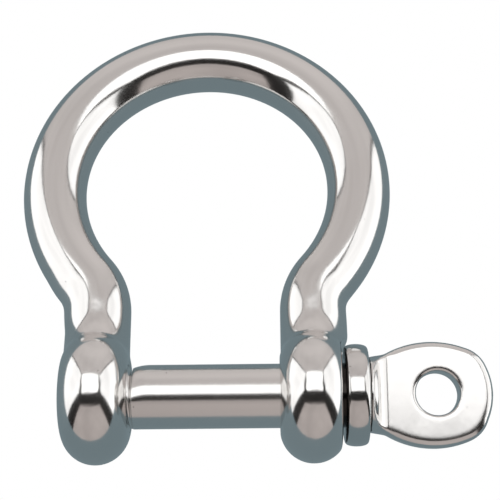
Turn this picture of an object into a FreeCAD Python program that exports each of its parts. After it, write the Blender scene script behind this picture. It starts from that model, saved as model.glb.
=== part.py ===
"""Bow shackle with a screw pin, nominal 8 mm, in millimetres.

The shackle lies on its back. X runs along the screw pin, towards its eye tab. Y runs from the
pin's axis up to the crown of the bow. Z is square to the plane of the bow. The origin is on
the pin's axis, midway between the two ears.
"""
import FreeCAD, Part
import os
import re
import Sketcher
from FreeCAD import Placement, Rotation, Vector

SIZES = {
    # The bow: one round bar, bent to a bow, with an ear forged on each end
    "bar_diameter": 8.4,
    "bow_radius": 20.4,          # centre line of the bar round the crown
    "bow_height": 29.3,          # from the pin's axis to the centre of that arc
    "neck_radius": 7.2,          # centre line of the bar where it turns in to the legs
    "leg_set_back": 0.2,         # of a leg's inner side from the ear's inner face
    "jaw_width": 18.7,           # clear width between the ears
    "ear_over_bar": 0.1,         # how much thicker an ear is than the bar
    "ear_diameter_in_bars": 2.0,
    "seat_depth": 0.7,           # flat faced on the plain ear, for the collar
    "seat_margin": 0.55,         # of the seat round the collar
    "seat_flare": 1.0,           # how far the seat's cut runs out past the ear
    "bore_chamfer": 0.4,
    "bore_overrun": 1.0,         # how far a bore's cut runs on past its ear
    # The thread in the far ear and on the pin
    "thread_pitch": 1.25,
    "thread_flank_angle": 30.0,  # of one flank, from square to the axis
    "pitch_line_depth": 0.6495,  # this and the next two are depths on the diameter, in pitches
    "tapped_minor_depth": 1.0825,
    "pin_root_depth": 1.2268,
    "tapped_minor_ease": 0.073,
    "pin_root_ease": 0.067,
    "crest_ease": 0.14,
    "flank_clearance": 0.06,     # along the axis, each side of a ridge
    "groove_overcut": 0.2,       # how far a groove's cut starts inside the tapped hole's wall
    "shank_overcut": 0.1,        # how far a groove's cut ends outside the shank
    "thread_past_ear": 0.8,      # least length of full thread inside the jaw
    "runout_length": 0.85,
    "runout_cone_angle": 45.0,
    # The screw pin
    "pin_diameter": 8.0,
    "pin_clearance": 0.1,        # on the radius, in the plain ear
    "tip_set_back": 0.3,         # of the pin's end from the far ear's outer face
    "tip_chamfer": 0.7,
    "back_off": 0.4,             # gap between the collar and its seat
    "collar_width": 2.8,
    "collar_wall": 2.35,         # its radius beyond the pin's
    "collar_clearance": 0.05,    # on the radius, and along the axis at the shoulder
    "collar_edge_radius": 1.0,
    # The eye tab on the pin's head
    "shoulder_step": 0.65,       # its radius beyond the pin's
    "shoulder_width": 0.9,
    "tab_length": 15.6,          # from the shoulder to the tab's end
    "tab_root_length": 2.0,
    "tab_root_width": 10.0,
    "tab_side_radius": 11.5,
    "tab_crown_width": 11.8,     # where the sides meet the corners
    "tab_crown_set_back": 3.4,
    "tab_corner_radius": 4.0,
    "tab_end_width": 6.6,
    "tab_end_set_back": 0.71,
    "tab_end_radius": 8.0,
    "tab_thickness": 3.4,
    "tab_edge_radius": 0.9,
    "tab_turn": 13.0,            # the tab's flat, turned from the plane of the bow
    "eye_diameter": 5.7,
    "eye_set_back": 7.1,         # of the eye's centre from the tab's end
    "eye_edge_radius": 0.3,
    "eye_overcut": 1.0,          # how far the eye's cut runs past each face
}

LENGTH_TOLERANCE = 1e-6
LEAST_CUT = 0.1                  # cubic millimetres
WHOLE_TURN = 360

WORD = re.compile(r"[a-z]\w*_\w+")

doc = FreeCAD.newDocument("bow_shackle")
sheet = doc.addObject("Spreadsheet::Sheet", "sizes")
for row, (alias, value) in enumerate(SIZES.items(), start=1):
    sheet.set(f"A{row}", alias)
    sheet.set(f"B{row}", str(value))
    sheet.setAlias(f"B{row}", alias)
doc.recompute()


def bound(expression):
    """The expression with each size read from the sheet."""
    return WORD.sub(lambda name: "sizes." + name.group(), expression)


def number(expression):
    """What an expression in the sheet's sizes comes to."""
    return float(sheet.evalExpression(bound(expression)))


# Sizes and places along the pin's axis that more than one piece uses
EAR_THICKNESS = "(bar_diameter + ear_over_bar)"
EAR_DIAMETER = "(bar_diameter * ear_diameter_in_bars)"
EAR_INNER = "(jaw_width / 2)"
EAR_OUTER = f"({EAR_INNER} + {EAR_THICKNESS})"
LEG_X = f"({EAR_INNER} + leg_set_back + bar_diameter / 2)"
COLLAR_X = f"({EAR_OUTER} - seat_depth + back_off)"
COLLAR_RADIUS = "(pin_diameter / 2 + collar_wall)"
SHOULDER_X = f"({COLLAR_X} + collar_width + collar_clearance)"
SHOULDER_RADIUS = "(pin_diameter / 2 + shoulder_step)"
TIP_X = f"(tip_set_back - {EAR_OUTER})"

# The thread, as radii, and the place and number of its turns
THREAD_X = f"(-{EAR_OUTER} - thread_pitch)"
THREAD_TURNS = f"ceil(({EAR_THICKNESS} + thread_past_ear) / thread_pitch + 0.5)"
PITCH_LINE = "((pin_diameter - pitch_line_depth * thread_pitch) / 2)"
TAPPED_MINOR = "((pin_diameter - tapped_minor_depth * thread_pitch + tapped_minor_ease) / 2)"
TAPPED_MAJOR = "((pin_diameter + crest_ease) / 2)"
PIN_ROOT = "((pin_diameter - pin_root_depth * thread_pitch - pin_root_ease) / 2)"
PIN_CREST = "((pin_diameter - crest_ease) / 2)"


def new_body(label):
    body = doc.addObject("PartDesign::Body", label)
    body.Label = label
    body.Placement = Placement()
    return body


def new_sketch(body, name, plane="XY_Plane"):
    sketch = body.newObject("Sketcher::SketchObject", name)
    support = next(f for f in body.Origin.OriginFeatures if f.Role == plane)
    sketch.AttachmentSupport = (support, [""])
    sketch.MapMode = "FlatFace"
    return sketch


def place(sketch, geometry, end, axis, expression):
    """Fixes one coordinate of a point, from the sketch's origin."""
    if expression == "0":
        sketch.addConstraint(Sketcher.Constraint("PointOnObject", geometry, end, -1))
        return
    kind = "DistanceX" if axis == "x" else "DistanceY"
    value = number(expression)
    index = sketch.addConstraint(Sketcher.Constraint(kind, -1, 1, geometry, end, value))
    sketch.setExpression(f"Constraints[{index}]", bound(expression))


def arc_between(start, end, radius, bulge, over_half=False):
    """An arc of a given radius between two points, drawn anticlockwise as a sketch keeps it.

    bulge is +1 where the arc stands to the left of the way from start to end, or else -1.
    """
    chord = end - start
    half = chord.Length / 2
    height = (radius**2 - half**2) ** 0.5
    rise = radius + height if over_half else radius - height
    side = Vector(-chord.y, chord.x, 0).normalize() * bulge
    middle = start + chord / 2 + side * rise
    return Part.Arc(end, middle, start) if bulge > 0 else Part.Arc(start, middle, end)


def outline(body, name, corners, arcs=None, plane="XY_Plane"):
    """A closed outline through corners, each an (x, y) pair of expressions.

    arcs maps the number of a side to (radius expression, bulge); other sides are straight.
    """
    arcs = arcs or {}
    sketch = new_sketch(body, name, plane)
    points = [Vector(number(x), number(y), 0) for x, y in corners]
    ends = []
    for side, start in enumerate(points):
        end = points[(side + 1) % len(points)]
        if side in arcs:
            radius, bulge = arcs[side]
            index = sketch.addGeometry(arc_between(start, end, number(radius), bulge))
        else:
            index = sketch.addGeometry(Part.LineSegment(start, end))
        as_drawn = (sketch.Geometry[index].StartPoint - start).Length < LENGTH_TOLERANCE
        ends.append((1, 2) if as_drawn else (2, 1))
    for side in range(len(points)):
        following = (side + 1) % len(points)
        sketch.addConstraint(Sketcher.Constraint(
            "Coincident", side, ends[side][1], following, ends[following][0]))
    for side, (x, y) in enumerate(corners):
        place(sketch, side, ends[side][0], "x", x)
        place(sketch, side, ends[side][0], "y", y)
    for side, (radius, bulge) in arcs.items():
        index = sketch.addConstraint(Sketcher.Constraint("Radius", side, number(radius)))
        sketch.setExpression(f"Constraints[{index}]", bound(radius))
    doc.recompute()
    return sketch


def turned(body, kind, name, profile):
    """A full turn of a profile about the pin's axis: a Revolution adds, a Groove cuts."""
    feature = body.newObject(f"PartDesign::{kind}", name)
    feature.Profile = profile
    feature.ReferenceAxis = (profile, ["H_Axis"])
    feature.Angle = WHOLE_TURN
    doc.recompute()
    return feature


def must_cut(body, before, name):
    """Stops the build where a cutting feature took nothing away."""
    if body.Shape.Volume > before - LEAST_CUT:
        raise ValueError(f"{name} cut nothing from {body.Label}")


def cut_round(body, name, corners):
    """Cuts a turned recess or bore, given the corners of its half section."""
    before = body.Shape.Volume
    turned(body, "Groove", name, outline(body, name + "_section", corners))
    must_cut(body, before, name)


def groove_half(radius, sign):
    """Half the width of a groove at a radius: a quarter pitch at the pitch line.

    sign is "+" for a groove that widens outwards, as on the pin, or "-" as in the tapped hole.
    """
    return f"(thread_pitch / 4 {sign} ({radius} - {PITCH_LINE}) * tan(thread_flank_angle * 1deg))"


def cut_thread(body, name, corners, rise, cone_angle="0"):
    """Cuts a right-hand helical groove along +X, one pitch a turn."""
    before = body.Shape.Volume
    profile = outline(body, name + "_section", corners)
    helix = body.newObject("PartDesign::SubtractiveHelix", name)
    helix.Profile = profile
    helix.ReferenceAxis = (profile, ["H_Axis"])
    helix.Mode = 0
    helix.setExpression("Pitch", bound("thread_pitch"))
    helix.setExpression("Height", bound(rise))
    helix.Angle = number(cone_angle)
    helix.LeftHanded = False
    doc.recompute()
    must_cut(body, before, name)


def round_edges(body, name, radius, wanted):
    """Rounds the edges of the body's tip that wanted() picks."""
    base = body.Tip
    edges = [f"Edge{n}" for n, edge in enumerate(base.Shape.Edges, start=1) if wanted(edge)]
    if not edges:
        raise ValueError(f"{name} found no edge on {body.Label}")
    fillet = body.newObject("PartDesign::Fillet", name)
    fillet.Base = (base, edges)
    fillet.setExpression("Radius", bound(radius))
    doc.recompute()
    return fillet


def has_radius(expression):
    """A test for the round edges of one radius."""
    radius = number(expression)
    return lambda edge: (hasattr(edge.Curve, "Radius")
                         and abs(edge.Curve.Radius - radius) < LENGTH_TOLERANCE)


def make_bow():
    body = new_body("bow")

    # The bar's centre line: leg, neck, crown, neck, leg, each arc tangent to the next
    reach = "(bow_radius + neck_radius)"
    drop = f"sqrt({reach}^2 - ({LEG_X} + neck_radius)^2)"
    neck_y = f"(bow_height - {drop})"
    share = f"(bow_radius / {reach})"
    join_x = f"(({LEG_X} + neck_radius) * {share})"
    join_y = f"(bow_height - {drop} * {share})"
    leg = number(LEG_X)
    corners = [(f"-{LEG_X}", "0"), (f"-{LEG_X}", neck_y), (f"-{join_x}", join_y),
               (join_x, join_y), (LEG_X, neck_y), (LEG_X, "0")]
    points = [Vector(number(x), number(y), 0) for x, y in corners]
    bends = {1: ("neck_radius", -1), 2: ("bow_radius", 1), 3: ("neck_radius", -1)}
    path = new_sketch(body, "bar_path")
    ends = []
    for index, (start, end) in enumerate(zip(points, points[1:])):
        if index in bends:
            radius, bulge = bends[index]
            curve = arc_between(start, end, number(radius), bulge, over_half=radius == "bow_radius")
        else:
            curve = Part.LineSegment(start, end)
        path.addGeometry(curve)
        as_drawn = (path.Geometry[index].StartPoint - start).Length < LENGTH_TOLERANCE
        ends.append((1, 2) if as_drawn else (2, 1))
    for index in range(len(ends) - 1):
        path.addConstraint(Sketcher.Constraint(
            "Coincident", index, ends[index][1], index + 1, ends[index + 1][0]))
    for index, (x, y) in enumerate(corners[:-1]):
        place(path, index, ends[index][0], "x", x)
        place(path, index, ends[index][0], "y", y)
    place(path, len(ends) - 1, ends[-1][1], "x", LEG_X)
    place(path, len(ends) - 1, ends[-1][1], "y", "0")
    for index, (radius, _) in bends.items():
        named = path.addConstraint(Sketcher.Constraint("Radius", index, number(radius)))
        path.setExpression(f"Constraints[{named}]", bound(radius))

    section = new_sketch(body, "bar_section", "XZ_Plane")
    bar_radius = number("bar_diameter / 2")
    section.addGeometry(Part.Circle(Vector(-leg, 0, 0), Vector(0, 0, 1), bar_radius))
    place(section, 0, 3, "x", f"-{LEG_X}")
    section.addConstraint(Sketcher.Constraint("PointOnObject", 0, 3, -1))
    named = section.addConstraint(Sketcher.Constraint("Radius", 0, bar_radius))
    section.setExpression(f"Constraints[{named}]", bound("bar_diameter / 2"))
    doc.recompute()
    bar = body.newObject("PartDesign::AdditivePipe", "bar")
    bar.Profile = section
    bar.Spine = path
    doc.recompute()

    # Each ear is a disc whose rim is a full half round
    rim = f"({EAR_DIAMETER} / 2 - {EAR_THICKNESS} / 2)"
    for side, name in (("-", "threaded_ear"), ("", "plain_ear")):
        inner, outer = f"{side}{EAR_INNER}", f"{side}{EAR_OUTER}"
        middle = f"{side}({EAR_INNER} + {EAR_THICKNESS} / 2)"
        corners = [(inner, "0"), (inner, rim), (middle, f"{EAR_DIAMETER} / 2"),
                   (outer, rim), (outer, "0")]
        rounded = (f"{EAR_THICKNESS} / 2", -1 if side else 1)
        profile = outline(body, name + "_section", corners, {1: rounded, 2: rounded})
        turned(body, "Revolution", name, profile)

    # The flat seat on the plain ear, and the pin's clearance bore through that ear
    seat = f"({EAR_OUTER} - seat_depth)"
    beyond = f"({EAR_OUTER} + seat_flare)"
    seat_radius = f"({COLLAR_RADIUS} + seat_margin)"
    cut_round(body, "collar_seat", [
        (seat, "0"), (seat, seat_radius),
        (beyond, f"{seat_radius} + seat_depth + seat_flare"), (beyond, "0")])
    bore = "(pin_diameter / 2 + pin_clearance)"
    inside_jaw = f"({EAR_INNER} - bore_overrun)"
    cut_round(body, "plain_bore", [
        (inside_jaw, "0"), (inside_jaw, bore), (f"{seat} - bore_chamfer", bore),
        (f"{seat} + bore_chamfer", f"{bore} + 2 * bore_chamfer"),
        (f"{seat} + bore_chamfer", "0")])

    # The tapped bore through the other ear, chamfered at both mouths
    lead = f"({TAPPED_MAJOR} - {TAPPED_MINOR})"
    past_ear = f"(-{EAR_OUTER} - bore_overrun)"
    cut_round(body, "tapping_bore", [
        (f"-{inside_jaw}", "0"), (f"-{inside_jaw}", TAPPED_MAJOR), (f"-{EAR_INNER}", TAPPED_MAJOR),
        (f"-{EAR_INNER} - {lead}", TAPPED_MINOR), (f"-{EAR_OUTER} + {lead}", TAPPED_MINOR),
        (f"-{EAR_OUTER}", TAPPED_MAJOR), (past_ear, TAPPED_MAJOR), (past_ear, "0")])
    inner = f"({TAPPED_MINOR} - groove_overcut)"
    wide = f"({groove_half(inner, '-')} + flank_clearance)"
    narrow = f"({groove_half(TAPPED_MAJOR, '-')} + flank_clearance)"
    cut_thread(body, "ear_thread", [
        (f"{THREAD_X} - {wide}", inner), (f"{THREAD_X} + {wide}", inner),
        (f"{THREAD_X} + {narrow}", TAPPED_MAJOR), (f"{THREAD_X} - {narrow}", TAPPED_MAJOR)],
        f"{EAR_THICKNESS} + 2 * thread_pitch")
    return body


def make_collar():
    body = new_body("pin_collar")
    bore = "(pin_diameter / 2 + collar_clearance)"
    far = f"({COLLAR_X} + collar_width)"
    turned(body, "Revolution", "ring", outline(body, "ring_section", [
        (COLLAR_X, bore), (COLLAR_X, COLLAR_RADIUS), (far, COLLAR_RADIUS), (far, bore)]))
    round_edges(body, "rim_rounding", "collar_edge_radius", has_radius(COLLAR_RADIUS))
    return body


def make_screw_pin():
    body = new_body("screw_pin")
    thread_end = f"({THREAD_X} + thread_pitch * ({THREAD_TURNS} + 0.5))"
    shank = "(pin_diameter / 2)"
    neck_x = f"({SHOULDER_X} + shoulder_width)"
    inside_tab = f"({neck_x} + tab_root_length)"
    turned(body, "Revolution", "shank", outline(body, "shank_section", [
        (TIP_X, "0"), (TIP_X, f"{PIN_CREST} - tip_chamfer"), (f"{TIP_X} + tip_chamfer", PIN_CREST),
        (thread_end, PIN_CREST), (thread_end, shank), (SHOULDER_X, shank),
        (SHOULDER_X, SHOULDER_RADIUS), (neck_x, SHOULDER_RADIUS),
        (inside_tab, "tab_thickness / 2"), (inside_tab, "0")]))

    # The tab is a plate across the pin's axis, narrow at the shoulder and rounded at its end
    end = f"({SHOULDER_X} + tab_length)"
    root_x = f"({SHOULDER_X} + tab_root_length)"
    crown_x = f"({end} - tab_crown_set_back)"
    end_x = f"({end} - tab_end_set_back)"
    plate = outline(body, "tab_outline", [
        (SHOULDER_X, f"-{SHOULDER_RADIUS}"), (root_x, "-tab_root_width / 2"),
        (crown_x, "-tab_crown_width / 2"), (end_x, "-tab_end_width / 2"),
        (end_x, "tab_end_width / 2"), (crown_x, "tab_crown_width / 2"),
        (root_x, "tab_root_width / 2"), (SHOULDER_X, SHOULDER_RADIUS)],
        {1: ("tab_side_radius", -1), 2: ("tab_corner_radius", -1), 3: ("tab_end_radius", -1),
         4: ("tab_corner_radius", -1), 5: ("tab_side_radius", -1)})
    turn_to_tab(plate)
    tab = body.newObject("PartDesign::Pad", "tab")
    tab.Profile = plate
    tab.Midplane = True
    tab.setExpression("Length", bound("tab_thickness"))
    doc.recompute()
    before = body.Shape.Volume
    eye = new_sketch(body, "eye_circle")
    eye_x = f"({end} - eye_set_back)"
    eye_radius = number("eye_diameter / 2")
    eye.addGeometry(Part.Circle(Vector(number(eye_x), 0, 0), Vector(0, 0, 1), eye_radius))
    place(eye, 0, 3, "x", eye_x)
    eye.addConstraint(Sketcher.Constraint("PointOnObject", 0, 3, -1))
    named = eye.addConstraint(Sketcher.Constraint("Radius", 0, eye_radius))
    eye.setExpression(f"Constraints[{named}]", bound("eye_diameter / 2"))
    turn_to_tab(eye)
    hole = body.newObject("PartDesign::Pocket", "eye")
    hole.Profile = eye
    hole.Midplane = True
    hole.setExpression("Length", bound("tab_thickness + 2 * eye_overcut"))
    doc.recompute()
    must_cut(body, before, "eye")

    round_edges(body, "eye_rounding", "eye_edge_radius", has_radius("eye_diameter / 2"))
    clear_of_root = number(root_x) - LENGTH_TOLERANCE
    face_normal = Rotation(Vector(1, 0, 0), number("tab_turn")).multVec(Vector(0, 0, 1))
    half = number("tab_thickness / 2")
    eye_ring = number("eye_diameter / 2 + eye_edge_radius")

    def on_outline(edge):
        ends = [vertex.Point for vertex in edge.Vertexes]
        on_face = all(abs(abs(point.dot(face_normal)) - half) < LENGTH_TOLERANCE for point in ends)
        beside_root = min(point.x for point in ends) > clear_of_root
        round_eye = abs(getattr(edge.Curve, "Radius", 0) - eye_ring) < LENGTH_TOLERANCE
        return on_face and beside_root and not round_eye

    round_edges(body, "tab_rounding", "tab_edge_radius", on_outline)

    # The thread: a run-out that climbs out of the shank, and a groove of full depth from the tip to it
    outside = f"({shank} + shank_overcut)"
    deep, wide = groove_half(PIN_ROOT, "+"), groove_half(outside, "+")
    section = [("-", deep, PIN_ROOT), ("+", deep, PIN_ROOT), ("+", wide, outside), ("-", wide, outside)]
    start = f"({THREAD_X} + thread_pitch / 2)"
    last = f"({start} + thread_pitch * {THREAD_TURNS})"
    cut_thread(body, "thread_runout", [(f"{last} {way} {half}", radius) for way, half, radius in section],
               "runout_length", "runout_cone_angle")
    cut_thread(body, "pin_thread", [(f"{start} {way} {half}", radius) for way, half, radius in section],
               f"thread_pitch * {THREAD_TURNS}")
    return body


def turn_to_tab(sketch):
    """Turns a sketch about the pin's axis to the tab's flat."""
    sketch.AttachmentOffset = Placement(Vector(), Rotation(Vector(1, 0, 0), number("tab_turn")))
    sketch.setExpression("AttachmentOffset.Rotation.Angle", bound("tab_turn"))
    doc.recompute()


bodies = [make_bow(), make_collar(), make_screw_pin()]
doc.recompute()

for item in doc.Objects:
    if "Invalid" in item.State or "Error" in item.State:
        raise ValueError(f"{item.Label} failed: {item.State}")
for body in bodies:
    if body.Shape.isNull() or not body.Shape.isValid():
        raise ValueError(f"{body.Label} has no valid shape")
os.makedirs("parts", exist_ok=True)
for body in bodies:
    body.Shape.exportStep(f"parts/{body.Label}.step")
    box = body.Shape.BoundBox
    print(body.Label, round(body.Shape.Volume, 1), "mm3", len(body.Shape.Solids), "solid",
          [round(v, 2) for v in (box.XMin, box.YMin, box.ZMin, box.XMax, box.YMax, box.ZMax)])
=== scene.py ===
import math

import bmesh
import bpy
from mathutils import Matrix, Vector


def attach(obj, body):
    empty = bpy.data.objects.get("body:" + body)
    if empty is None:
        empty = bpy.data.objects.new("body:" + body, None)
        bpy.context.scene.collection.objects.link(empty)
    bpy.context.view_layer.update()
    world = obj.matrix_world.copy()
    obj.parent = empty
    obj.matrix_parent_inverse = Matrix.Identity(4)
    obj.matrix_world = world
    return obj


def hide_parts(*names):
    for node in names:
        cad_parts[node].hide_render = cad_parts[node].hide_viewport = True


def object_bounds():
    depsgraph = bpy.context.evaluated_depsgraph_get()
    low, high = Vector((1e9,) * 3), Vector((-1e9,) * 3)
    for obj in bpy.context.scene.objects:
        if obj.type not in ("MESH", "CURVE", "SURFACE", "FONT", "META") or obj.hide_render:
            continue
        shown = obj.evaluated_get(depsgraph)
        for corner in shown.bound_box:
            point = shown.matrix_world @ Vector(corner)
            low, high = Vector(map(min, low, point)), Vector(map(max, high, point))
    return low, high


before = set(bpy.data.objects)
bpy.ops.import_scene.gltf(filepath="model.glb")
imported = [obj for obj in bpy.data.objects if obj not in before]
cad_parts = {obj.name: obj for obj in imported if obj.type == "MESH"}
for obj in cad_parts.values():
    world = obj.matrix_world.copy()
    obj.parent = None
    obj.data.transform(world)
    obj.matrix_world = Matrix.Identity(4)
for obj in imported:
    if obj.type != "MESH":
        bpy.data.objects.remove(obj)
cad_box = [list(corner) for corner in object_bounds()]

# ---------------------------------------------------------------------------
# The bow: one length of round stainless bar, bent hot to a wide bow, with an
# ear forged on each end. One ear is tapped, and the other has a clear bore and
# a flat seat for the collar. It is ground and then mirror-polished all over.
# ---------------------------------------------------------------------------
MM = 0.001                  # sizes are in millimetres, and the pin's axis is X
bar_radius = 4.18
crown_radius = 20.4
crown_height = 29.3
neck_radius = 7.2
leg_x, leg_foot = 13.75, 4.6
outer_fills = ((-1, 0.3, 8.5, 16.0), (1, 0.2, 3.0, 14.0))    # side, depth, from and to what height
flare, flare_top, flare_foot = 0.30, 9.7, 6.2    # the legs thicken towards the ears
leg_waist, waist_top = 0.009, 12.6               # and are a little slimmer just above that
ear_inner, ear_outer = 9.35, 17.85
ear_radius = 8.4
ear_half = (ear_outer - ear_inner) / 2
ear_rim = ear_radius - ear_half
seat_x, seat_radius, seat_flare = 17.02, 6.65, 0.9
clear_bore = 4.1
mouth_chamfer = 0.4
past = 1.0                  # how far a cut runs out past the metal
thread_pitch, thread_flank = 1.25, math.radians(30)
crest_flat = 0.22           # width of the bottom of the tapped hole's grooves
tapped_minor, tapped_major = 3.36, 4.07
sleeve_gap, sleeve_wall, sleeve_set_back = 0.1, 0.45, 0.1
bow_voxel, bow_polish = 0.275, 6


def turned(outline, steps=128):
    """A closed solid turned about the pin's axis from the (x, radius) points of its half section."""
    mesh = bmesh.new()
    points = [mesh.verts.new((x, radius, 0)) for x, radius in outline]
    lines = [mesh.edges.new(pair) for pair in zip(points, points[1:])]
    bmesh.ops.spin(mesh, geom=points + lines, cent=(0, 0, 0), axis=(1, 0, 0),
                   angle=math.tau, steps=steps, use_merge=True)
    bmesh.ops.remove_doubles(mesh, verts=mesh.verts, dist=1e-4)
    bmesh.ops.recalc_face_normals(mesh, faces=mesh.faces)
    return mesh


def bend(start, centre, turn, steps):
    """The points of an arc from a start about a centre, turning anticlockwise for a plus turn."""
    arm = Vector(start) - Vector(centre)
    return [tuple(Vector(centre) + arm.copy().xy @ Matrix.Rotation(-turn * n / steps, 2))
            for n in range(steps + 1)]


def piece(name, mesh):
    """An object from a mesh drawn in millimetres."""
    bmesh.ops.scale(mesh, vec=(MM, MM, MM), verts=mesh.verts)
    data = bpy.data.meshes.new(name)
    mesh.to_mesh(data)
    mesh.free()
    made = bpy.data.objects.new(name, data)
    bpy.context.scene.collection.objects.link(made)
    return made


def settle(made):
    """Makes a piece's modifiers part of its mesh."""
    depsgraph = bpy.context.evaluated_depsgraph_get()
    made.data = bpy.data.meshes.new_from_object(made.evaluated_get(depsgraph))
    made.modifiers.clear()


def combine(made, tool, operation):
    """Welds a second piece to a piece, cuts it away, or keeps what both fill."""
    boolean = made.modifiers.new("tool", "BOOLEAN")
    boolean.operation = operation
    boolean.solver = "EXACT"
    boolean.object = tool
    settle(made)
    bpy.data.objects.remove(tool)


def join_or_cut(made, tool_mesh, operation):
    """Combines a piece with a solid that is drawn in millimetres."""
    combine(made, piece("tool", tool_mesh), operation)


def forge_and_polish(made, voxel, rounds):
    """Runs the solids of a forging into one skin, and eases its edges as polishing does."""
    skin = made.modifiers.new("skin", "REMESH")
    skin.mode = "VOXEL"
    skin.voxel_size = voxel * MM
    polish = made.modifiers.new("polish", "SMOOTH")
    polish.factor = 0.5
    polish.iterations = rounds
    settle(made)
    for face in made.data.polygons:
        face.use_smooth = True


def add_skin(made, mesh):
    """Adds a second skin, drawn in millimetres, to a piece that it needn't be welded to."""
    bmesh.ops.scale(mesh, vec=(MM, MM, MM), verts=mesh.verts)
    mesh_data = bpy.data.meshes.new("skin")
    mesh.to_mesh(mesh_data)
    mesh.free()
    both = bmesh.new()
    both.from_mesh(made.data)
    both.from_mesh(mesh_data)
    both.to_mesh(made.data)
    both.free()
    for face in made.data.polygons:
        face.use_smooth = True


def thread_reach(x, angle, pitch_phase):
    """How far a point stands from the middle of the nearest thread groove, along the axis."""
    along = x - pitch_phase - thread_pitch * angle / math.tau
    return along - thread_pitch * round(along / thread_pitch)


leg_rings = 12
neck_turn = math.acos((leg_x + neck_radius) / (crown_radius + neck_radius))
neck_y = crown_height - (crown_radius + neck_radius) * math.sin(neck_turn)
bar = bmesh.new()
bmesh.ops.create_circle(
    bar, segments=96, radius=bar_radius,
    matrix=Matrix.Translation((-leg_x, leg_foot, 0)) @ Matrix.Rotation(math.pi / 2, 4, "X"))
end = list(bar.edges)


def draw_along(mesh, loop, rise, count):
    """Draws an open end of the bar out in a straight line, and gives its new end."""
    for _ in range(count):
        drawn = bmesh.ops.extrude_edge_only(
            mesh, edges=[part for part in loop if isinstance(part, bmesh.types.BMEdge)])["geom"]
        bmesh.ops.translate(mesh, vec=(0, rise / count, 0),
                            verts=[part for part in drawn if isinstance(part, bmesh.types.BMVert)])
        loop = [part for part in drawn if not isinstance(part, bmesh.types.BMFace)]
    return loop


end = draw_along(bar, end, neck_y - leg_foot, leg_rings)
for centre_x, centre_y, turn, steps in (
        (-leg_x - neck_radius, neck_y, neck_turn, 24),
        (0, crown_height, -math.pi - 2 * neck_turn, 220),
        (leg_x + neck_radius, neck_y, neck_turn, 24)):
    spun = bmesh.ops.spin(bar, geom=end, cent=(centre_x, centre_y, 0), axis=(0, 0, 1),
                          angle=turn, steps=steps)
    end = spun["geom_last"]
draw_along(bar, end, leg_foot - neck_y, leg_rings)
for vert in bar.verts:
    for side, fill, low, top in outer_fills:
        share = min(1, (side * vert.co.x - leg_x) / bar_radius)
        height = (vert.co.y - low) / (top - low)
        if share > 0 and 0 <= height <= 1:
            vert.co.x += side * fill * math.sin(math.pi * height) * share
    if vert.co.y < flare_top:
        vert.co.z *= 1 + flare * ((flare_top - vert.co.y) / (flare_top - flare_foot)) ** 2
    if vert.co.y < waist_top:
        down = min(1, (waist_top - vert.co.y) / (waist_top - flare_top))
        vert.co.z *= 1 - leg_waist * (1 - math.cos(math.pi * down)) / 2
bmesh.ops.holes_fill(bar, edges=[edge for edge in bar.edges if edge.is_boundary], sides=0)
bmesh.ops.recalc_face_normals(bar, faces=bar.faces)
bow = piece("bow_forging", bar)

rim_arc = bend((ear_inner, ear_rim), (ear_inner + ear_half, ear_rim), -math.pi, 40)
ear_outline = [(ear_inner, 0)] + rim_arc + [(ear_outer, 0)]
join_or_cut(bow, turned(ear_outline, 160), "UNION")
join_or_cut(bow, turned([(-x, radius) for x, radius in ear_outline], 160), "UNION")
join_or_cut(bow, turned([(seat_x, 0), (seat_x, seat_radius), (ear_outer + past, seat_radius + seat_flare),
                         (ear_outer + past, 0)]), "DIFFERENCE")
join_or_cut(bow, turned([
    (past, 0), (past, clear_bore + mouth_chamfer), (ear_inner, clear_bore + mouth_chamfer),
    (ear_inner + mouth_chamfer, clear_bore), (seat_x - mouth_chamfer, clear_bore),
    (seat_x + mouth_chamfer, clear_bore + 2 * mouth_chamfer), (seat_x + mouth_chamfer, 0)]),
    "DIFFERENCE")
join_or_cut(bow, turned([(-past, 0), (-past, tapped_major + sleeve_gap),
                         (-ear_outer - past, tapped_major + sleeve_gap), (-ear_outer - past, 0)]),
            "DIFFERENCE")
forge_and_polish(bow, bow_voxel, bow_polish)

# The tapped hole's thread, cut right through the far ear, is a sleeve let into it
tap_start = -ear_outer - thread_pitch / 2
sleeve_rings = 90
sleeve_in, sleeve_out = sleeve_set_back - ear_outer, -sleeve_set_back - ear_inner
inside = [(sleeve_in + (sleeve_out - sleeve_in) * n / sleeve_rings, tapped_minor)
          for n in range(sleeve_rings + 1)]
outside = [(sleeve_out, tapped_major + sleeve_wall), (sleeve_in, tapped_major + sleeve_wall)]
tapped = turned(inside + outside + [inside[0]], 96)
for vert in tapped.verts:
    radius = math.hypot(vert.co.y, vert.co.z)
    if radius < tapped_major:
        off_groove = abs(thread_reach(vert.co.x, math.atan2(vert.co.z, vert.co.y), tap_start))
        groove = tapped_major - max(0, off_groove - crest_flat / 2) / math.tan(thread_flank)
        mouth = min(vert.co.x - sleeve_in, sleeve_out - vert.co.x)
        wanted = max(tapped_minor, groove, tapped_major - mouth)
        vert.co.y *= wanted / radius
        vert.co.z *= wanted / radius
add_skin(bow, tapped)


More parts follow.
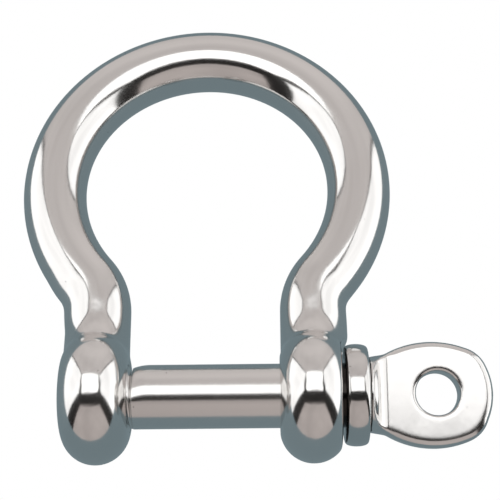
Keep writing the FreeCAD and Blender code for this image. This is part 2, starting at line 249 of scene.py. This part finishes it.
def polished_steel(name, tint, gloss, marks_along=(1, 1, 1), painted_shade=(), waves=0.08):
    """Mirror-polished stainless steel, with faint buffing lines, a soft haze and a few tiny pits.

    marks_along stretches the buffing lines and waves is their depth. The strips listed after marks_along
    are painted near-black as painted shade in the gaps between parts: each gives the two ends of a strip
    along the pin's axis, and its radius, in millimetres.
    """
    made = bpy.data.materials.new(name)
    made.use_nodes = True
    nodes, links = made.node_tree.nodes, made.node_tree.links
    shader = nodes["Principled BSDF"]
    shader.inputs["Metallic"].default_value = 1.0
    place = nodes.new("ShaderNodeTexCoord")

    # A haze that clouds the tint and the gloss
    haze = nodes.new("ShaderNodeTexNoise")
    haze.inputs["Scale"].default_value = 140
    haze.inputs["Detail"].default_value = 4
    links.new(place.outputs["Object"], haze.inputs["Vector"])
    tone = nodes.new("ShaderNodeMix")
    tone.data_type = "RGBA"
    tone.inputs["A"].default_value = (*[c * 0.95 for c in tint], 1)
    tone.inputs["B"].default_value = (*tint, 1)
    links.new(haze.outputs["Fac"], tone.inputs["Factor"])

    # Pits
    speck = nodes.new("ShaderNodeTexVoronoi")
    speck.inputs["Scale"].default_value = 420
    links.new(place.outputs["Object"], speck.inputs["Vector"])
    pit = nodes.new("ShaderNodeMapRange")
    pit.inputs["From Min"].default_value = 0.02
    pit.inputs["From Max"].default_value = 0.05
    pit.inputs["To Min"].default_value = 0.55
    pit.inputs["To Max"].default_value = 1.0
    links.new(speck.outputs["Distance"], pit.inputs["Value"])
    pitted = nodes.new("ShaderNodeMix")
    pitted.data_type = "RGBA"
    pitted.blend_type = "MULTIPLY"
    pitted.inputs["Factor"].default_value = 1.0
    links.new(tone.outputs["Result"], pitted.inputs["A"])
    links.new(pit.outputs["Result"], pitted.inputs["B"])
    shade = pitted.outputs["Result"]

    # Painted shade: near-black strips round the pin's axis, where the gaps between parts fall dark
    apart = nodes.new("ShaderNodeSeparateXYZ")
    links.new(place.outputs["Object"], apart.inputs["Vector"])
    around = nodes.new("ShaderNodeVectorMath")
    around.operation = "MULTIPLY"
    around.inputs[1].default_value = (0, 1, 1)
    links.new(place.outputs["Object"], around.inputs[0])
    radius = nodes.new("ShaderNodeVectorMath")
    radius.operation = "LENGTH"
    links.new(around.outputs["Vector"], radius.inputs[0])
    for low, high, limit in painted_shade:
        strip = nodes.new("ShaderNodeMath")
        strip.operation = "COMPARE"
        strip.inputs[1].default_value = (low + high) / 2 * MM
        strip.inputs[2].default_value = (high - low) / 2 * MM
        links.new(apart.outputs["X"], strip.inputs[0])
        within = nodes.new("ShaderNodeMath")
        within.operation = "LESS_THAN"
        within.inputs[1].default_value = limit * MM
        links.new(radius.outputs["Value"], within.inputs[0])
        both = nodes.new("ShaderNodeMath")
        both.operation = "MULTIPLY"
        links.new(strip.outputs["Value"], both.inputs[0])
        links.new(within.outputs["Value"], both.inputs[1])
        shade_mix = nodes.new("ShaderNodeMix")
        shade_mix.data_type = "RGBA"
        # the near-black of the painted shade
        shade_mix.inputs["B"].default_value = (0.04, 0.036, 0.033, 1)
        links.new(both.outputs["Value"], shade_mix.inputs["Factor"])
        links.new(shade, shade_mix.inputs["A"])
        shade = shade_mix.outputs["Result"]
    links.new(shade, shader.inputs["Base Color"])

    rough = nodes.new("ShaderNodeMapRange")
    rough.inputs["To Min"].default_value = gloss * 0.7
    rough.inputs["To Max"].default_value = gloss * 1.5
    links.new(haze.outputs["Fac"], rough.inputs["Value"])
    links.new(rough.outputs["Result"], shader.inputs["Roughness"])

    # Buffing lines
    stretch = nodes.new("ShaderNodeMapping")
    stretch.inputs["Scale"].default_value = marks_along
    links.new(place.outputs["Object"], stretch.inputs["Vector"])
    ripple = nodes.new("ShaderNodeTexNoise")
    ripple.inputs["Scale"].default_value = 220
    ripple.inputs["Detail"].default_value = 3
    links.new(stretch.outputs["Vector"], ripple.inputs["Vector"])
    bump = nodes.new("ShaderNodeBump")
    bump.inputs["Strength"].default_value = waves
    bump.inputs["Distance"].default_value = 0.0002
    links.new(ripple.outputs["Fac"], bump.inputs["Height"])
    links.new(bump.outputs["Normal"], shader.inputs["Normal"])
    return made


def fit(made, material, body, node):
    """Gives a piece its finish, and fixes it to its body in place of the plain CAD node."""
    made.data.materials.clear()
    made.data.materials.append(material)
    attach(made, body)
    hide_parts(node)


steel_tint, mirror_gloss = (0.80, 0.785, 0.77), 0.12
# painted shade: the seat face in the narrow gap between the plain ear and the collar is painted near-black
seat_shade = (16.8, 17.15, 6.8)
fit(bow, polished_steel("bow_polish", steel_tint, mirror_gloss, painted_shade=[seat_shade]), "bow", "bow")

# ---------------------------------------------------------------------------
# The pin's collar: a stainless ring with fully rounded edges, turned on a
# lathe. It stands a hair off the plain ear, and its far side backs on the tab.
# ---------------------------------------------------------------------------
collar_near, collar_far = 17.40, 20.35
collar_radius, collar_bore = 6.35, 4.05
collar_edge, edge_steps, edge_fullness = 0.85, 28, 0.55
# painted shade where the collar's far side meets the pin's shoulder
shoulder_shade = (20.33, 20.5, 9)
collar_middle, collar_half = (collar_near + collar_far) / 2, (collar_far - collar_near) / 2
crown_arc = [(collar_middle - collar_half * math.cos(math.pi * n / edge_steps),
              collar_radius - collar_edge
              + collar_edge * math.sin(math.pi * n / edge_steps) ** edge_fullness)
             for n in range(edge_steps + 1)]
collar_outline = [(collar_near, collar_bore)] + crown_arc + [(collar_far, collar_bore)]
collar = piece("collar_ring", turned(collar_outline + collar_outline[:1], 192))
for face in collar.data.polygons:
    face.use_smooth = abs(face.normal.x) < 0.98
fit(collar, polished_steel("collar_polish", (0.75, 0.735, 0.72), mirror_gloss, (6, 1, 1),
                           [shoulder_shade]), "collar", "pin_collar")

# ---------------------------------------------------------------------------
# The screw pin: turned from round bar, with a rolled M8 thread at its tip. Its
# head is forged flat into a tab with an eye, to be turned by hand or a key.
# ---------------------------------------------------------------------------
shank_radius, crest_radius, root_radius = 4.0, 3.93, 3.2
tip_x, tip_chamfer = -17.55, 0.7
thread_start = tap_start + thread_pitch / 2
thread_past_ear, flank_ease = 0.45, 0.04
thread_end = -ear_inner + thread_past_ear
root_flat = thread_pitch / 2 - (crest_radius - root_radius) * math.tan(thread_flank) - flank_ease
dip, dip_bearing = 0.56, 0.45                    # the shank is worn down where the thread runs out
smooth_x = -6.8
shoulder_x, shoulder_radius = 20.4, 4.65
tab_half, tab_edge = 1.7, 0.95
tab_turn = math.radians(13)
eye_x, eye_radius, eye_ease, ease_steps = 28.94, 2.72, 0.35, 8
tab_voxel, tab_polish = 0.14, 26

threaded_rings, plain_rings, shank_steps = 120, 30, 120
shank_end = shoulder_x + 1
threaded = [(tip_x + (smooth_x - tip_x) * n / threaded_rings, crest_radius)
            for n in range(threaded_rings + 1)]
plain = [(smooth_x + (shank_end - smooth_x) * n / plain_rings, shank_radius)
         for n in range(1, plain_rings + 1)]
shank = turned([(tip_x, 0), (tip_x, 1.2), (tip_x, 2.4)] + threaded + plain + [(shank_end, 0)], shank_steps)
for vert in shank.verts:
    radius = math.hypot(vert.co.y, vert.co.z)
    if radius > 3 and vert.co.x < smooth_x + 0.01:
        angle = math.atan2(vert.co.z, vert.co.y)
        wanted = shank_radius
        if vert.co.x > -ear_inner:
            fade = (smooth_x - vert.co.x) / (smooth_x + ear_inner)
            wanted -= dip * max(0, fade) ** 2 * max(0, math.cos(angle - dip_bearing))
        if vert.co.x < thread_end:
            off_groove = abs(thread_reach(vert.co.x, angle, thread_start))
            groove = max(0, off_groove - root_flat / 2) / math.tan(thread_flank)
            wanted = min(wanted, crest_radius, root_radius + groove)
        wanted = min(wanted, crest_radius - tip_chamfer + (vert.co.x - tip_x))
        vert.co.y *= wanted / radius
        vert.co.z *= wanted / radius


def slab(points, rise):
    """A solid drawn straight out from a flat outline."""
    mesh = bmesh.new()
    face = mesh.faces.new([mesh.verts.new(point) for point in points])
    raised = bmesh.ops.extrude_face_region(mesh, geom=[face])["geom"]
    bmesh.ops.translate(mesh, vec=rise,
                        verts=[part for part in raised if isinstance(part, bmesh.types.BMVert)])
    bmesh.ops.recalc_face_normals(mesh, faces=mesh.faces)
    return mesh


def bulge(start, end, radius, steps=16):
    """The points of an arc of a given radius, bulging to the right of the way from start to end."""
    a, b = Vector(start), Vector(end)
    half = (b - a) / 2
    rise = math.sqrt(radius**2 - half.length**2)
    centre = a + half + Vector((-half.y, half.x)).normalized() * rise
    turn = 2 * math.asin(half.length / radius)
    return bend(start, centre, turn, steps)


# The tab is a flat plate with eased edges
tab_corners = [(22.4, -5.0), (32.6, -5.95), (35.15, -3.3), (35.15, 3.3), (32.5, 5.72), (22.4, 4.95)]
tab_radii = (11.5, 4.0, 8.0, 4.0, 12.0)
edge_points = [(shoulder_x, -shoulder_radius)]
for start, finish, radius in zip(tab_corners, tab_corners[1:], tab_radii):
    edge_points += bulge(start, finish, radius)[:-1]
edge_points += [tab_corners[-1], (shoulder_x, shoulder_radius)]
plate = slab([(x, y, -tab_half) for x, y in edge_points], (0, 0, 2 * tab_half))
lips = [edge for edge in plate.edges
        if abs(edge.verts[0].co.z - edge.verts[1].co.z) < 1e-4 and edge.calc_face_angle() > 1
        and max(vert.co.x for vert in edge.verts) > shoulder_x + 0.1]
bmesh.ops.bevel(plate, geom=lips, offset=tab_edge, offset_type="OFFSET", segments=10, profile=0.5,
                affect="EDGES", material=-1)
tab = piece("screw_pin_forging", plate)

# A waist blends the round shoulder into the plate
blend_start, blend_end = shoulder_x + 0.5, 23.1
blend_steps, sunk, waist_half_width = 12, 0.05, 8
waist_side = [(shoulder_x, shoulder_radius), (blend_start, shoulder_radius)]
for n in range(1, blend_steps + 1):
    turn = math.pi / 2 * n / blend_steps
    waist_side.append((blend_end - (blend_end - blend_start) * math.cos(turn),
                       shoulder_radius - (shoulder_radius - tab_half + sunk) * math.sin(turn)))
waist_side.append((blend_end + 1, tab_half - sunk))
waist_outline = waist_side + [(x, -z) for x, z in reversed(waist_side)]
waist = piece("waist", slab([(x, -waist_half_width, z) for x, z in waist_outline],
                            (0, 2 * waist_half_width, 0)))
waist_turning = [(-1, 0), (-1, 4.65), (0.8, 4.65), (2.0, 4.95), (2.7, 5.3), (3.2, 5.3), (3.2, 0)]
join_or_cut(waist, turned([(shoulder_x + x, radius) for x, radius in waist_turning]), "INTERSECT")
combine(tab, waist, "UNION")

# The eye
ease = [(tab_half - eye_ease + eye_ease * math.sin(math.pi / 2 * n / ease_steps),
         eye_radius + eye_ease - eye_ease * math.cos(math.pi / 2 * n / ease_steps))
        for n in range(ease_steps + 1)]
ease.append((2 * tab_half, eye_radius + eye_ease))
eye_side = [(0, eye_radius)] + ease
eye = turned([(-2 * tab_half, 0)] + [(-x, radius) for x, radius in reversed(eye_side)] + eye_side[1:]
             + [(2 * tab_half, 0)])
bmesh.ops.transform(eye, verts=eye.verts, matrix=Matrix.Translation((eye_x, 0, 0))
                    @ Matrix.Rotation(math.pi / 2, 4, "Y"))
join_or_cut(tab, eye, "DIFFERENCE")
forge_and_polish(tab, tab_voxel, tab_polish)
tab.data.transform(Matrix.Rotation(tab_turn, 4, "X"))
add_skin(tab, shank)
# painted shade on the shank in the gap between the plain ear and the collar, and on the neck where the tab
# backs on the collar
shank_shade, neck_shade = (16.9, 17.8, 4.5), (20.2, 20.45, 9)
fit(tab, polished_steel("pin_polish", steel_tint, 0.17, (2, 1, 1), [shank_shade, neck_shade], 0.1),
    "pin", "screw_pin")

# ---------------------------------------------------------------------------
# The studio: a pale table under the shackle, and a tent of plain panels round
# it, which the polished steel mirrors. The camera looks down on it steeply.
# ---------------------------------------------------------------------------
tilt, swing, lean = math.radians(25.57), math.radians(-0.77), math.radians(-0.32)
camera_distance = 163 * MM
aim_right, aim_up = 5.6675 * MM, 18.3175 * MM
forward = Vector((math.cos(tilt) * math.sin(swing), math.sin(tilt), -math.cos(tilt) * math.cos(swing)))
right = Vector((math.cos(lean) * math.cos(swing) - math.sin(lean) * math.sin(tilt) * math.sin(swing),
                math.sin(lean) * math.cos(tilt),
                math.cos(lean) * math.sin(swing) + math.sin(lean) * math.sin(tilt) * math.cos(swing)))
up = right.cross(forward)
front = -forward
camera_data = bpy.data.cameras.new("camera")
camera_data.sensor_width = 36
camera_data.lens = 93.888
camera_data.clip_start = 0.01
camera = bpy.data.objects.new("camera", camera_data)
bpy.context.scene.collection.objects.link(camera)
stand = right * aim_right + up * aim_up + front * camera_distance
camera.matrix_world = Matrix.Translation(stand) @ Matrix((
    (right.x, up.x, front.x, 0), (right.y, up.y, front.y, 0), (right.z, up.z, front.z, 0), (0, 0, 0, 1)))
bpy.context.scene.camera = camera

tent_reach = 400 * MM
# the last colour is that of the painted table shadow below
white, grey, pink_grey, shadow_slate = (1, 1, 1), (0.50, 0.47, 0.46), (0.43, 0.39, 0.375), (0.155, 0.202, 0.222)


def glowing(name, corners, colour, strength, shade=0.0):
    """A stage sheet between its corners that glows evenly, or with soft folds of a given shade."""
    sheet = bmesh.new()
    sheet.faces.new([sheet.verts.new(corner) for corner in corners])
    data = bpy.data.meshes.new(name)
    sheet.to_mesh(data)
    sheet.free()
    made = bpy.data.objects.new(name, data)
    bpy.context.scene.collection.objects.link(made)
    glow = bpy.data.materials.new(name)
    glow.use_nodes = True
    nodes, links = glow.node_tree.nodes, glow.node_tree.links
    nodes.clear()
    emission = nodes.new("ShaderNodeEmission")
    emission.inputs["Color"].default_value = (*colour, 1)
    emission.inputs["Strength"].default_value = strength
    if shade:
        place = nodes.new("ShaderNodeTexCoord")
        folds = nodes.new("ShaderNodeTexNoise")
        folds.inputs["Scale"].default_value = 5
        folds.inputs["Detail"].default_value = 2
        links.new(place.outputs["Object"], folds.inputs["Vector"])
        level = nodes.new("ShaderNodeMapRange")
        level.inputs["From Min"].default_value = 0.3
        level.inputs["From Max"].default_value = 0.7
        level.inputs["To Min"].default_value = strength * (1 - shade)
        level.inputs["To Max"].default_value = strength * (1 + shade)
        links.new(folds.outputs["Fac"], level.inputs["Value"])
        links.new(level.outputs["Result"], emission.inputs["Strength"])
    output = nodes.new("ShaderNodeOutputMaterial")
    links.new(emission.outputs["Emission"], output.inputs["Surface"])
    data.materials.append(glow)
    made.visible_shadow = False
    return made


def panel(name, bearings, colour, strength, shade=0.12):
    """A sheet of the tent, stretched between corners that are given as bearings from the shackle."""
    corners = [Vector(bearing).normalized() * tent_reach for bearing in bearings]
    glowing(name, corners, colour, strength, shade).visible_camera = False


panel("ceiling", [(-0.50, 0.415, 1), (0.50, 0.415, 1), (0.50, -0.18, 1), (-0.50, -0.18, 1)], white, 1.6)
panel("back_panel", [(-0.97, 0.97, -0.3), (0.97, 0.97, -0.3), (0.52, 0.43, 1), (-0.52, 0.43, 1)],
      grey, 1.25)
for name, side in (("left_panel", -1), ("right_panel", 1)):
    panel(name, [(side, 0.95, -0.4), (side, -0.40, -0.4), (side * 0.70, -0.18, 1), (side * 0.55, 0.41, 1)],
          white, 1.35, 0.15)
panel("front_panel", [(-0.742, -0.594, -0.307), (0.742, -0.594, -0.307), (0.50, -0.44, 0.70),
                      (-0.50, -0.44, 0.70)], pink_grey, 1.15)
surround = bmesh.new()
bmesh.ops.create_uvsphere(surround, u_segments=48, v_segments=24, radius=2 * tent_reach)
surround_data = bpy.data.meshes.new("dark_room")
surround.to_mesh(surround_data)
surround.free()
dark_room = bpy.data.objects.new("dark_room", surround_data)
bpy.context.scene.collection.objects.link(dark_room)
dark = bpy.data.materials.new("dark_room")
dark.use_nodes = True
dark.node_tree.nodes["Principled BSDF"].inputs["Base Color"].default_value = (0.03, 0.022, 0.018, 1)
surround_data.materials.append(dark)
dark_room.visible_camera = False
dark_room.visible_shadow = False


def table(name, near, far, half_width, drop, colour, strength):
    """A level sheet that lies just under the shackle."""
    height = cad_box[0][2] - drop
    made = glowing(name, [(-half_width, near, height), (half_width, near, height),
                          (half_width, far, height), (-half_width, far, height)], colour, strength)
    made.visible_diffuse = False
    return made


pale_table = table("pale_table", -1.5, 1.5, 1.5, 0.0003, white, 1.0)
pale_table.visible_glossy = False
# A painted shadow: a glowing slate sheet, seen only in the steel's reflections, stands for the shade the
# shackle casts on the table round it
table_shadow_sheet = table("table_shadow_sheet", -0.12, 0.5, 0.5, 0.0002, shadow_slate, 1.2)
table_shadow_sheet.visible_camera = False

world = bpy.data.worlds.new("studio")
bpy.context.scene.world = world
world.use_nodes = True
world.node_tree.nodes["Background"].inputs["Color"].default_value = (1, 1, 1, 1)
world.node_tree.nodes["Background"].inputs["Strength"].default_value = 1.0
bpy.context.scene.view_settings.view_transform = "Standard"
